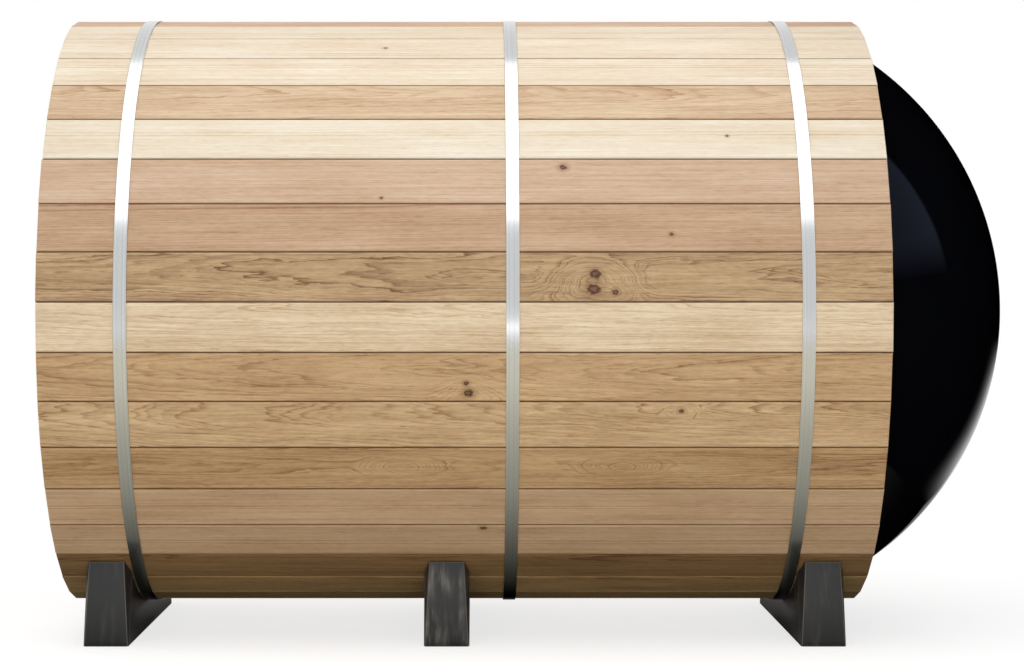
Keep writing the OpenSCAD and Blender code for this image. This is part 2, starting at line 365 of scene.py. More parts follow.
def long_edges(work, test):
    """The edges that run along X and whose two ends both pass a test."""
    return [e for e in work.edges
            if abs(e.verts[0].co.x - e.verts[1].co.x) > 0.01
            and test(e.verts[0].co) and test(e.verts[1].co)]


def section(work, width, height, radius):
    """A rectangle with rounded corners in the XZ plane, ready to be spun."""
    bmesh.ops.create_grid(work, x_segments=1, y_segments=1, size=0.5)
    stretch(work, (width, height, 1))
    bevel(work, work.verts[:], radius, 2, "VERTICES")
    turn(work, 90, "X")


trial = bmesh.new()
section(trial, 1, 1, 0.1)
print("a rounded square has", len(trial.verts), "points")
trial.free()

# %% [markdown]
# ## Working a board
#
# A board starts as a box in its own frame: X along the grain, Y across, Z out of its face, with the
# middle of the face at zero. After it is shaped, a second function writes the wood attributes on
# every vertex, and the board's place matrix takes it to the sauna. Because the attributes are
# worked out from the board's own frame, they stay right however the board is turned.

# %% Boards and their grain
def box(length, width, thick):
    """A bmesh box in a board's own frame, with the middle of its face at zero."""
    work = bmesh.new()
    bmesh.ops.create_cube(work, size=1)
    stretch(work, (length, width, thick))
    move(work, (0, 0, -thick / 2))
    return work


def grain(work, cut, seed, knots=()):
    """Writes the wood attributes on a bmesh that is still in its board's own frame."""
    draw = random.Random(seed)
    early, late, heart, tilt, pitch, strength, wave = CUTS[cut]
    heart = [h * MM * draw.uniform(0.8, 1.25) for h in heart]
    tilt = [t * MM * draw.uniform(-1.2, 1.2) for t in tilt]
    figure = (pitch * MM * draw.uniform(0.85, 1.2), strength, wave * MM)
    start = seed * 5.3
    spots = [Vector((x, y, radius * MM)) for x, y, radius in knots]
    spots += [Vector((0, 9, 0))] * (3 - len(spots))
    layers = work.verts.layers
    vectors = [layers.float_vector.new(name) for name in
        ("log", "spot", "figure", "knot_a", "knot_b", "knot_c")]
    colours = [(layers.float_color.new("early"), linear(early)),
        (layers.float_color.new("late"), linear(late))]
    for vertex in work.verts:
        x, y, z = vertex.co
        log = (x + start, y - heart[0] + tilt[0] * x, z + heart[1] + tilt[1] * x)
        for layer, value in list(zip(vectors, [log, vertex.co, figure] + spots)) + colours:
            vertex[layer] = value


def finish_mesh(work, name, finish, place=None):
    """Turns a bmesh into an object at the origin, after taking it to its place."""
    if place:
        bmesh.ops.transform(work, matrix=place, verts=work.verts)
    mesh = bpy.data.meshes.new(name)
    work.to_mesh(mesh)
    work.free()
    mesh.materials.append(finish)
    made = bpy.data.objects.new(name, mesh)
    bpy.context.collection.objects.link(made)
    return made


def join(name, parts):
    """Joins several finished boards into one object."""
    with bpy.context.temp_override(active_object=parts[0], selected_editable_objects=parts):
        bpy.ops.object.join()
    parts[0].name = parts[0].data.name = name
    return parts[0]


def stand_for(piece, node, sharp=None):
    """Rides a piece on the building, in place of its CAD node. Where sharp is given, faces that
    meet at less than so many degrees are shaded as one smooth surface."""
    if sharp:
        piece.data.shade_smooth()
        piece.data.set_sharp_from_angle(angle=math.radians(sharp))
    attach(piece, "root")
    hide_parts(node)
    print(piece.name, len(piece.data.polygons), "faces")


trial = box(LENGTH, 140 * MM, STAVE_T)
print(f"a board of {trial.calc_volume() * 1000:.1f} litres has", len(trial.faces), "faces")
trial.free()

# %% [markdown]
# ## The staves
#
# A stave is a plank whose sides lean in towards the barrel's axis, with a half-round bead along one
# edge and a matching cove along the other, so that neighbours nest and keep the rain out. It is
# made from a box: two cuts mark a strip down each side, one strip is pulled out and rounded, the
# other is pushed in and rounded, and then the whole section is drawn in towards the inner face.
# The outer corners get a chamfer, and two chamfers make the V groove that shows between staves.
#
# No real board is quite straight, so each stave also gets a bend of a few tenths of a millimetre,
# and its ends stop a millimetre or two apart from its neighbours'.

# %% One stave
GROOVE = 3.9 * MM
JOINT_GAP = 1.0 * MM
BEAD_R = 7 * MM
END_EASE = 1.5 * MM
STRETCHES = 12
MIDDLE = -STAVE_T / 2
TINY = 0.01 * MM
face_w = 2 * OUTER * math.tan(STEP / 2) - JOINT_GAP
print(f"a stave's outer face is {face_w / MM:.1f} mm wide")


def pull_strip(work, side, reach):
    """Pulls the middle strip of one side face out (or in, if reach is negative), and rounds it."""
    strip = [f for f in work.faces
             if f.normal.y * side > 0.9 and abs(f.calc_center_median().z - MIDDLE) < BEAD_R * 0.9]
    pull_out(work, strip, (0, side * reach, 0))
    bmesh.ops.delete(work, geom=strip, context="FACES_ONLY")
    edge_y = side * (face_w / 2 + reach)
    ease(work, long_edges(work, lambda p: abs(p.y - edge_y) < TINY), BEAD_R * 0.97, 5)


def stave(number, cut, knots=()):
    """The stave above a joint. Joint 0 is the first one above the axis, on the front."""
    draw = random.Random(100 + number)
    short_left, short_right = draw.uniform(0.1, 2.5) * MM, draw.uniform(0.1, 2.5) * MM
    length = LENGTH - short_left - short_right
    work = box(length, face_w, STAVE_T)
    for level in (MIDDLE - BEAD_R, MIDDLE + BEAD_R):
        cut_plane(work, (0, 0, level), (0, 0, 1))
    pull_strip(work, 1, BEAD_R)
    pull_strip(work, -1, -BEAD_R)
    for vertex in work.verts:
        vertex.co.y *= 1 + vertex.co.z / OUTER
    ease(work, long_edges(work, lambda p: p.z > -TINY), GROOVE)
    ease(work, [e for e in work.edges if all(v.co.z > -TINY and abs(v.co.x) > length / 2 - 0.1 * MM
        for v in e.verts)], END_EASE)

    # lines across it let it bend, and keep the dark of the grooves off its ends
    clean = length / 2 - 2 * END_EASE
    for x in [length * (k / STRETCHES - 0.5) for k in range(1, STRETCHES)] + [-clean, clean]:
        cut_plane(work, (x, 0, 0), (1, 0, 0))
    # the groove mark paints dust and painted shade into the V grooves and the hidden edges
    groove = work.verts.layers.float.new("groove")
    for vertex in work.verts:
        inside = -STAVE_T * 0.9 < vertex.co.z < -GROOVE * 0.5 and abs(vertex.co.y) > face_w * 0.4
        vertex[groove] = 1.0 if inside and abs(vertex.co.x) < clean + TINY else 0.0
    grain(work, cut, number + 1, knots)
    for vertex in work.verts:
        x = vertex.co.x
        vertex.co.y += 0.2 * MM * noise.noise(Vector((x * 1.3, number * 3.7, 0)))
        vertex.co.z += 0.3 * MM * (noise.noise(Vector((x * 1.1, number * 2.9, 5))) - 1)
    angle = TURN + (number + 0.5) * STEP
    out = Vector((0, -math.cos(angle), math.sin(angle)))
    across = Vector((0, math.sin(angle), math.cos(angle)))
    place = Matrix((Vector((1, 0, 0)), across, out)).transposed().to_4x4()
    place.translation = Vector((X_MID + (short_left - short_right) / 2, 0, AXIS_Z)) + out * OUTER
    return finish_mesh(work, f"stave_{number}", CEDAR, place)


# %% [markdown]
# The staves of a new barrel are picked from a mixed pallet, so pale sapwood lies beside brown
# heartwood. The nineteen on the front are chosen one by one, from the ridge down, with the knots
# that show; the rest are dealt from much the same cuts. A knot is given as its place from the
# middle of the stave (along, across) in metres and its radius in millimetres. A negative radius is
# a blind knot: it lies just under the face, so only the ovals of the rings above it show.

# %% All the staves, group by group
GROUPS = ["staves_ridge", "staves_roof_front", "staves_upper_front", "staves_lower_front",
    "staves_belly_front", "staves_keel", "staves_belly_back", "staves_lower_back",
    "staves_upper_back", "staves_roof_back"]
PER_GROUP = STAVES // len(GROUPS)
RIDGE_JOINT = round((math.radians(90) - TURN) / STEP)

FRONT_FROM_RIDGE = ["ivory", "pink", "cream", "cream", "cream", "tan", "ivory", "pink", "rose",
    "brown", "straw", "gold", "amber", "honey", "smooth", "smooth", "umber", "fawn", "fawn"]
REST_CUTS = ["cream", "ivory", "tan", "pink", "rose", "straw", "gold", "amber", "honey", "brown"]
KNOTS = {  # by the stave's number from the ridge
    3: [(-0.24, 0, 4)],
    6: [(0.76, 0.01, 3)],
    7: [(0.284, 0.043, 7), (-0.237, -0.054, 3)],
    8: [(0.59, -0.02, 4)],
    9: [(0.372, 0.008, 11), (0.368, -0.036, 13), (0.43, -0.044, 6)],
    11: [(0.012, -0.046, 9), (0.006, -0.018, 5)],
    12: [(0.62, 0.043, 5)],
    13: [(-0.183, 0.002, -10), (0.457, 0.004, -11)],
    15: [(0.054, 0.059, 6)],
}

for g, group in enumerate(GROUPS):
    parts = []
    for k in range(PER_GROUP):
        number = RIDGE_JOINT - PER_GROUP // 2 - g * PER_GROUP + k
        from_ridge = RIDGE_JOINT - 1 - number
        if 0 <= from_ridge < len(FRONT_FROM_RIDGE):
            cut = FRONT_FROM_RIDGE[from_ridge]
        else:
            cut = random.Random(700 + number).choice(REST_CUTS)
        parts.append(stave(number, cut, KNOTS.get(from_ridge, ())))
    stand_for(join("wood_" + group, parts), group)

# %% [markdown]
# ## Brushed stainless steel
#
# The bands are stainless strap with a fine brush along its length. The brush lines are far too thin
# to see one by one, so they are drawn about a millimetre wide, as faint changes of roughness and
# bump that run round the barrel. A metal keeps the default IOR: its colour is its reflection.

# %% The steel material
def steel_material():
    """Stainless steel strap, brushed along its length: bright, with soft-edged reflections."""
    made, tree, surface = material("brushed_stainless_steel")
    place = (add(tree, "TexCoord"), "Object")
    across = (add(tree, "SeparateXYZ", [place]), "X")
    lines = add(tree, "TexNoise", {"W": across, "Scale": 1 / MM, "Detail": 3, "Roughness": 0.6},
        noise_dimensions="1D")
    smears = add(tree, "TexNoise", {"Vector": place, "Scale": 9, "Detail": 4})
    both = add(tree, "Math", [(lines, "Fac"), (smears, "Fac")], operation="ADD")
    rough = add(tree, "MapRange", [both, 0.6, 1.4, 0.13, 0.24])
    rolled = add(tree, "TexNoise", {"W": across, "Scale": 1 / (5 * MM), "Detail": 2},
        noise_dimensions="1D")
    shade = add(tree, "MapRange", [(rolled, "Fac"), 0.3, 0.7])
    shade = add(tree, "MixRGB", [shade, linear("#cacbcb"), linear("#c0c1c2")])
    bump = add(tree, "Bump", {"Strength": 0.08, "Distance": 0.05 * MM, "Height": (lines, "Fac")})
    feed(surface, {"Base Color": shade, "Roughness": rough, "Normal": bump, "Metallic": 1})
    return made


STEEL = steel_material()
print(STEEL.name, "made")

# %% [markdown]
# ## The bands
#
# Each band is one strap, bent round the barrel and turned outwards at both ends into lugs that a
# bolt draws together. Half of it is enough: the strap's section is a thin rectangle at the point
# opposite the lugs, spun round the barrel's axis, then spun round a small bend, then pulled out to
# the lug's tip. A mirror makes the other half, and the sections that end up inside the strap are
# deleted. In the band's own frame the lugs point up.

# %% A strap with two lugs
BAND_W = band_high.x - band_low.x
LUG_TURN = math.radians(217)
LUG_GAP = 26 * MM
LUG_H = 34 * MM
BEND_R = 3 * MM


def strap():
    """Half a band: from the point opposite the lugs to the tip of one lug."""
    work = bmesh.new()
    section(work, BAND_W, BAND_T, 0.45 * MM)
    move(work, (0, 0, -BAND_R - BAND_T / 2))
    bend_at = BAND_R + BAND_T + BEND_R
    lean = math.asin((LUG_GAP / 2 + BAND_T + BEND_R) / bend_at)
    spun = bmesh.ops.spin(work, geom=work.faces[:], cent=(0, 0, 0), axis=(1, 0, 0),
        angle=math.pi - lean, steps=150)
    bent = bmesh.ops.spin(work, geom=spun["geom_last"], axis=(1, 0, 0), angle=lean - math.pi / 2,
        cent=(0, math.sin(lean) * bend_at, math.cos(lean) * bend_at), steps=6)
    pull_out(work, [f for f in bent["geom_last"] if isinstance(f, bmesh.types.BMFace)],
        (0, 0, LUG_H - BAND_T - BEND_R))
    return work


trial = strap()
print("half a strap has", len(trial.faces), "faces")
trial.free()

# %% [markdown]
# The bolt is an M8 hex bolt with a washer under its head and another under its nut. A hexagon is a
# circle of six points, pulled out and slightly bevelled.

# %% The bolt through the lugs
BOLT_R = 4 * MM
WASHER_R, WASHER_T = 8 * MM, 1.6 * MM
HEX_R, HEAD_H, NUT_H = 7.5 * MM, 5.5 * MM, 6.5 * MM


def turned(work, radius, start, length, sides=24, edge=0.4 * MM):
    """Adds a short bevelled cylinder or prism along Y, from a start place, and returns its points."""
    disc = bmesh.ops.create_circle(work, cap_ends=True, segments=sides, radius=radius)["verts"]
    every = disc + pull_out(work, [disc[0].link_faces[0]], (0, 0, length))
    rims = [e for e in {e for v in every for e in v.link_edges}
            if abs(e.verts[0].co.z - e.verts[1].co.z) < 1e-6]
    every = [v for v in set(every) | set(bevel(work, rims, edge)["verts"]) if v.is_valid]
    turn(work, -90, "X", every)
    move(work, start, every)
    return every


def band(name):
    """A band with its bolt, in the place of its CAD node."""
    low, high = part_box(name)
    work = strap()
    bmesh.ops.mirror(work, geom=work.verts[:] + work.edges[:] + work.faces[:], axis="Y",
        merge_dist=0.01 * MM)
    inside = [f for f in work.faces if all(len(e.link_faces) > 2 for e in f.edges)]
    bmesh.ops.delete(work, geom=inside, context="FACES_ONLY")
    height, side = BAND_R + LUG_H * 0.6, LUG_GAP / 2 + BAND_T
    turned(work, BOLT_R, (0, -side - 9 * MM, height), 2 * side + 19 * MM)
    turned(work, WASHER_R, (0, -side - WASHER_T, height), WASHER_T)
    turned(work, HEX_R, (0, -side - WASHER_T - HEAD_H, height), HEAD_H, 6, 0.6 * MM)
    turned(work, WASHER_R, (0, side, height), WASHER_T)
    turned(work, HEX_R, (0, side + WASHER_T, height), NUT_H, 6, 0.6 * MM)
    face_outwards(work)
    place = Matrix.Rotation(math.radians(90) - LUG_TURN, 4, "X")
    place.translation = ((low.x + high.x) / 2, 0, AXIS_Z)
    stand_for(finish_mesh(work, "steel_" + name, STEEL, place), name, 18)


for name in ("band_door_end", "band_middle", "band_dome_end"):
    band(name)

# %% [markdown]
# ## Moulded cradles
#
# The barrel lies in three cradles moulded from recycled charcoal plastic. The moulding leaves a
# faint orange-peel surface, rounded edges a few millimetres across, and scuffs where the cradle was
# dragged. The scuffs are streaks that run up and down, strongest on the middle cradle, so their
# strength is an attribute of each piece. A second attribute marks the rounded edges, which are
# painted pale: partly rubbed wear, partly a painted highlight along the arris.

# %% The cradle material
def cradle_material():
    """Moulded recycled polyethylene: charcoal, satin, with pale scuffs."""
    made, tree, surface = material("moulded_polyethylene")
    place = (add(tree, "TexCoord"), "Object")
    peel = add(tree, "TexNoise", {"Vector": place, "Scale": 1 / (3 * MM), "Detail": 2})
    streaks = add(tree, "Mapping",
        {"Vector": place, "Location": (0, 0, -0.45), "Scale": (45, 45, 5)})
    streaks = add(tree, "TexNoise",
        {"Vector": streaks, "Scale": 1, "Detail": 5, "Roughness": 0.65})
    worn = add(tree, "MapRange", [(streaks, "Fac"), 0.42, 0.72], **SMOOTH)
    patches = add(tree, "Mapping", {"Vector": place, "Location": (0, 0, -0.09)})
    patches = add(tree, "TexNoise", {"Vector": patches, "Scale": 7, "Detail": 2})
    patches = add(tree, "MapRange", [(patches, "Fac"), 0.35, 0.6], **SMOOTH)
    scuffed = (add(tree, "Attribute", attribute_name="scuffs"), "Fac")
    for factor in (patches, scuffed):
        worn = add(tree, "Math", [worn, factor], operation="MULTIPLY")
    # the pale arris is partly rubbed wear and partly a painted highlight
    rubbed_and_highlit = (add(tree, "Attribute", attribute_name="arris"), "Fac")
    rubbed_and_highlit = add(tree, "Math", [rubbed_and_highlit, 0.55], operation="MULTIPLY")
    worn = add(tree, "Math", [worn, rubbed_and_highlit], operation="MAXIMUM")
    shade = add(tree, "MixRGB", [worn, linear("#242425"), linear("#85817a")])
    rough = add(tree, "MapRange", {"Value": worn, "To Min": 0.42, "To Max": 0.75})
    bump = add(tree, "Bump", {"Strength": 0.25, "Distance": 0.3 * MM, "Height": (peel, "Fac")})
    feed(surface, {"Base Color": shade, "Roughness": rough, "Normal": bump})
    return made


CRADLE = cradle_material()
print(CRADLE.name, "made")

# %% [markdown]
# The CAD cradle already has the right shape. Its mesh is a loose set of triangles, so a copy of it
# is welded, its flat triangles are dissolved into whole faces, and every real edge gets a radius.
# The radius leaves narrow faces. Points that touch no wide face are on an arris, and are painted pale:
# rubbed wear and a painted highlight.

# %% The three cradles
def welded_copy(name):
    """A bmesh of a CAD node's shape, with whole flat faces."""
    work = bmesh.new()
    work.from_mesh(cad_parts[name].data)
    weld(work)
    bmesh.ops.dissolve_limit(work, verts=work.verts, edges=work.edges, angle_limit=math.radians(1))
    return work


for name, scuffs in (("cradle_door_end", 0.15), ("cradle_middle", 1.0), ("cradle_dome_end", 0.2)):
    work = welded_copy(name)
    ease(work, [e for e in work.edges if e.calc_face_angle(0) > math.radians(12)], 4 * MM, 3)
    # the arris attribute marks the edges painted pale, as wear and as a painted highlight
    layer, arris = work.verts.layers.float.new("scuffs"), work.verts.layers.float.new("arris")
    wide = [f for f in work.faces if f.calc_area() > 3 * MM * max(e.calc_length() for e in f.edges)]
    flat = {v for f in wide for v in f.verts}
    for vertex in work.verts:
        vertex[layer] = scuffs
        vertex[arris] = 0.0 if vertex in flat else 1.0
    stand_for(finish_mesh(work, "moulded_" + name, CRADLE), name, 35)

# %% [markdown]
# ## The dome
#
# The dome is one sheet of cast acrylic, blown into a cap and left with a flat flange round it. It is
# smoked so dark that it reads as black. Acrylic is glossy, but its reflection is weak when seen
# square on and strong along the rim, which the Principled surface does by itself.

# %% The acrylic and the black metal
def acrylic_material():
    """Cast acrylic, smoked nearly black and fire polished."""
    made, tree, surface = material("smoked_cast_acrylic")
    place = (add(tree, "TexCoord"), "Object")
    cloud = add(tree, "TexNoise", {"Vector": place, "Scale": 3, "Detail": 2})
    shade = add(tree, "MixRGB", [(cloud, "Fac"), linear("#040406"), linear("#0a0b10")])
    ripple = add(tree, "Bump", {"Strength": 0.02, "Distance": 2 * MM, "Height": (cloud, "Fac")})
    dust = add(tree, "TexNoise", {"Vector": place, "Scale": 1 / (4 * MM), "Detail": 3})
    rough = add(tree, "MapRange", {"Value": (dust, "Fac"), "To Min": 0.03, "To Max": 0.08})
    feed(surface, {"Base Color": shade, "Roughness": rough, "Normal": ripple, "IOR": 1.49,
        "Specular IOR Level": 0.2})
    return made


def powder_coat_material():
    """Satin black powder coat on metal, with its fine orange peel."""
    made, tree, surface = material("black_powder_coat")
    place = (add(tree, "TexCoord"), "Object")
    peel = add(tree, "TexNoise", {"Vector": place, "Scale": 1 / (2 * MM), "Detail": 2})
    shade = add(tree, "MixRGB", [(peel, "Fac"), linear("#1a1a1c"), linear("#232325")])
    bump = add(tree, "Bump", {"Strength": 0.2, "Distance": 0.2 * MM, "Height": (peel, "Fac")})
    feed(surface, {"Base Color": shade, "Normal": bump, "Roughness": 0.4})
    return made


ACRYLIC = acrylic_material()
POWDER_COAT = powder_coat_material()
print(ACRYLIC.name, "and", POWDER_COAT.name, "made")

# %% [markdown]
# One point at the tip, spun round the centre of the ball, draws the dome's outline. The last point
# is pulled out to the rim of the flange, the corner between them is rounded, and the outline is
# spun once round the barrel's axis. The sheet then gets its thickness towards the inside.

# %% The dome
DOME_T = 8 * MM
FLANGE_W = 26 * MM
FLANGE_BEND = 9 * MM
ROUND_STEPS = 160
dome_low, dome_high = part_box("dome")
X_TIP = dome_high.x
DOME_R = (dome_high.z - dome_low.z) / 2 - FLANGE_W
RISE = X_TIP - dome_low.x - DOME_T
BALL_R = (DOME_R ** 2 + RISE ** 2) / (2 * RISE)


def full_spin(work, outline):
    """Spins an outline once round the barrel's axis."""
    bmesh.ops.spin(work, geom=outline, cent=(0, 0, AXIS_Z), axis=(1, 0, 0), angle=2 * math.pi,
        steps=ROUND_STEPS, use_merge=True)


work = bmesh.new()
tip = bmesh.ops.create_vert(work, co=(X_TIP, 0, AXIS_Z))["vert"]
arc = bmesh.ops.spin(work, geom=tip, cent=(X_TIP - BALL_R, 0, AXIS_Z), axis=(0, 1, 0),
    angle=-math.asin(DOME_R / BALL_R), steps=56)
foot = points(arc["geom_last"])
pulled = bmesh.ops.extrude_vert_indiv(work, verts=foot)
move(work, (0, 0, FLANGE_W), pulled["verts"])
bevel(work, foot, FLANGE_BEND, 5, "VERTICES")
full_spin(work, work.edges[:])
weld(work)
face_outwards(work)
if sum(f.normal.x for f in work.faces) < 0:
    bmesh.ops.reverse_faces(work, faces=work.faces)
bmesh.ops.solidify(work, geom=work.faces[:], thickness=DOME_T)
stand_for(finish_mesh(work, "acrylic_dome", ACRYLIC), "dome", 40)

# %% [markdown]
# A black steel ring clamps the flange to a wooden ring behind it, with a round-headed screw every
# fifteen degrees. Its section is a rectangle with rounded corners, spun once round the axis.

# %% The clamp ring and its screws
CLAMP_SCREWS = 24
CLAMP_W = 22 * MM
clamp_low, clamp_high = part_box("dome_clamp_ring")
clamp_z = AXIS_Z + (clamp_high.z - clamp_low.z - CLAMP_W) / 2

work = bmesh.new()
section(work, clamp_high.x - clamp_low.x, CLAMP_W, 0.8 * MM)
move(work, ((clamp_low.x + clamp_high.x) / 2, 0, clamp_z))
outline = work.faces[:]
full_spin(work, outline[0].edges[:])
bmesh.ops.delete(work, geom=outline, context="FACES_ONLY")
for k in range(CLAMP_SCREWS):
    head = bmesh.ops.create_uvsphere(work, u_segments=12, v_segments=8, radius=4.5 * MM)["verts"]
    stretch(work, (0.55, 1, 1), head)
    move(work, (clamp_high.x, 0, clamp_z), head)
    bmesh.ops.rotate(work, cent=(0, 0, AXIS_Z), verts=head,
        matrix=Matrix.Rotation(2 * math.pi * (k + 0.5) / CLAMP_SCREWS, 3, "X"))
face_outwards(work)
stand_for(finish_mesh(work, "black_clamp_ring", POWDER_COAT), "dome_clamp_ring", 40)

# %% [markdown]
# The wooden ring that carries the dome is cut from eight short boards. A board's end section, spun
# an eighth of a turn, gives each its curve. The grain still runs straight through the board, as it
# does in a sawn curve, because the wood attributes come from the board's own frame.

# %% The carrier ring
RING_BOARDS = 8
RING_W = 116 * MM
RING_GAP = 0.3 * MM
ring_low, ring_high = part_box("dome_carrier_ring")
ring_t = ring_high.x - ring_low.x
ring_r = (ring_high.z - ring_low.z) / 2 - RING_W / 2

# a board's own frame at the top of a ring that faces the door end
AT_TOP = Matrix((Vector((0, -1, 0)), Vector((0, 0, 1)), Vector((-1, 0, 0)))).transposed()

parts = []
for k in range(RING_BOARDS):
    share, gap = 2 * math.pi / RING_BOARDS, RING_GAP / ring_r
    work = bmesh.new()
    bmesh.ops.create_grid(work, x_segments=1, y_segments=1, size=0.5)
    turn(work, 90, "Y")
    stretch(work, (1, RING_W, ring_t))
    move(work, (0, 0, -ring_t / 2))
    bmesh.ops.rotate(work, cent=(0, -ring_r, 0), verts=work.verts,
        matrix=Matrix.Rotation(gap - share / 2, 3, "Z"))
    bmesh.ops.spin(work, geom=work.faces[:], cent=(0, -ring_r, 0), axis=(0, 0, 1),
        angle=share - 2 * gap, steps=18)
    face_outwards(work)
    ease(work, [e for e in work.edges if e.calc_face_angle(0) > 1], 1.2 * MM, 2)
    grain(work, "rose" if k % 3 else "gold", 200 + k)
    round_to = Matrix.Rotation(share * (k + 0.5), 3, "X")
    place = (round_to @ AT_TOP).to_4x4()
    place.translation = Vector((ring_low.x, 0, AXIS_Z)) + round_to @ Vector((0, 0, ring_r))
    parts.append(finish_mesh(work, f"ring_board_{k}", CEDAR, place))
stand_for(join("wood_carrier_ring", parts), "dome_carrier_ring")

# %% [markdown]
# ## The door end
#
# The wall at the door end stands a hand's breadth inside the staves. It is made of upright tongued
# and grooved boards with a V at each joint. Every board starts as the whole round of the wall, which
# four cuts trim to the board: that way the ends of the boards follow the barrel by themselves.

# %% Upright wall boards
wall_low, wall_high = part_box("end_wall_front")
X_WALL = wall_low.x
WALL_T = wall_high.x - wall_low.x
WALL_R = -wall_low.y
PLANK_W = 88 * MM
PLANK_V = 3 * MM
PLANK_GAP = 0.4 * MM
WALL_CUTS = ["cream", "tan", "rose", "straw", "ivory", "gold", "pink", "smooth", "amber"]

# a board's own frame turned upright, or level, on a wall that faces the door end
UPRIGHT = Matrix((Vector((0, 0, 1)), Vector((0, 1, 0)), Vector((-1, 0, 0)))).transposed().to_4x4()
LEVEL = Matrix((Vector((0, 1, 0)), Vector((0, 0, -1)), Vector((-1, 0, 0)))).transposed().to_4x4()


def at_wall(way, y, z, x=X_WALL):
    """A board's place on the end wall, upright or level."""
    place = way.copy()
    place.translation = (x, y, z)
    return place


def plank(left, right, bottom, top, cut, seed):
    """One wall board between four limits: world Y, and height above the barrel's axis."""
    middle, side = (left + right) / 2, (right - left) / 2
    work = bmesh.new()
    bmesh.ops.create_circle(work, cap_ends=True, segments=180, radius=WALL_R)
    move(work, (0, -middle, 0))
    for point, outwards in (((0, -side, 0), (0, -1, 0)), ((0, side, 0), (0, 1, 0)),
            ((bottom, 0, 0), (-1, 0, 0)), ((top, 0, 0), (1, 0, 0))):
        cut_plane(work, point, outwards, True)
    weld(work, 0.02 * MM)
    pull_out(work, work.faces[:], (0, 0, -WALL_T))
    face_outwards(work)
    ease(work, long_edges(work, lambda p: p.z > -TINY and abs(abs(p.y) - side) < TINY), PLANK_V)
    # the groove mark paints dust and painted shade into the V at each joint
    groove = work.verts.layers.float.new("groove")
    for vertex in work.verts:
        vertex[groove] = 1.0 if abs(vertex.co.z + PLANK_V) < TINY else 0.0
    grain(work, cut, seed)
    return finish_mesh(work, f"plank_{seed}", CEDAR, at_wall(UPRIGHT, middle, AXIS_Z))


for node, seed in (("end_wall_front", 300), ("end_wall_back", 310), ("end_wall_over_door", 320),
        ("end_wall_under_door", 330)):
    low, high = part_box(node)
    count = round((high.y - low.y) / PLANK_W)
    width = (high.y - low.y) / count
    draw = random.Random(seed)
    parts = []
    for k in range(count):
        left = low.y + k * width
        parts.append(plank(left + PLANK_GAP / 2, left + width - PLANK_GAP / 2, low.z - AXIS_Z,
            high.z - AXIS_Z, draw.choice(WALL_CUTS), seed + k))
    stand_for(join("boards_" + node, parts), node)

# %% [markdown]
# ## Door frame and leaf
#
# The frame's members and the door leaf have plain shapes that the CAD model already holds, with the
# rebate for the glass. So each board is sawn out of a welded copy of its CAD node: the leaf's two
# stiles and two rails are the same solid cut along the joints. Every arris is then eased, and every
# board gets its own piece of log, upright or level as the joiner would lay it.

# %% Boards sawn from the CAD model
ARRIS = 1.5 * MM


def sawn(name, node, way, cut, seed, cuts=()):
    """A board sawn from a CAD node, by cuts given as (point, outward direction) in the world."""
    work = welded_copy(node)
    for point, outwards in cuts:
        saw_off(work, point, outwards)
    corners = [[v.co[k] for v in work.verts] for k in range(3)]
    middle = [(min(c) + max(c)) / 2 for c in corners]
    place = at_wall(way, middle[1], middle[2], min(corners[0]))
    bmesh.ops.transform(work, matrix=place.inverted(), verts=work.verts)
    face_outwards(work)
    ease(work, [e for e in work.edges if e.calc_face_angle(0) > 0.5], ARRIS, 2)
    grain(work, cut, seed)
    return finish_mesh(work, name, CEDAR, place)


for node, way, cut, seed in (("door_jamb_front", UPRIGHT, "rose", 340),
        ("door_jamb_back", UPRIGHT, "gold", 341), ("door_head", LEVEL, "rose", 342),
        ("door_sill", LEVEL, "smooth", 343)):
    stand_for(sawn("wood_" + node, node, way, cut, seed), node)

# %% [markdown]
# The glass sits in a rebate, so its beads reach a little past the opening on every side. The saw
# takes a hair's breadth on each side of a joint: a cut that ran exactly in the face of the opening
# would leave slivers.

# %% The door leaf
GLASS_BITE = 10 * MM
SAW = 0.15 * MM
bead_low, bead_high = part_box("door_glass_beads")
leaf_low, leaf_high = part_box("door_leaf")
half_way = (0, 0, (leaf_low.z + leaf_high.z) / 2)
left, right = bead_low.y + GLASS_BITE, bead_high.y - GLASS_BITE
between = [((0, left + SAW, 0), (0, -1, 0)), ((0, right - SAW, 0), (0, 1, 0))]
leaf = join("wood_door_leaf", [
    sawn("stile_front", "door_leaf", UPRIGHT, "straw", 350, [((0, left - SAW, 0), (0, 1, 0))]),
    sawn("stile_back", "door_leaf", UPRIGHT, "tan", 351, [((0, right + SAW, 0), (0, -1, 0))]),
    sawn("rail_top", "door_leaf", LEVEL, "gold", 352, between + [(half_way, (0, 0, -1))]),
    sawn("rail_bottom", "door_leaf", LEVEL, "amber", 353, between + [(half_way, (0, 0, 1))]),
])
stand_for(leaf, "door_leaf")

# %% [markdown]
# Four beads with mitred ends hold the glass from the inside. Each is a plain strip, and one slanting
# cut at either end gives it its mitres.

# %% Glass beads
BEAD_W = 16 * MM


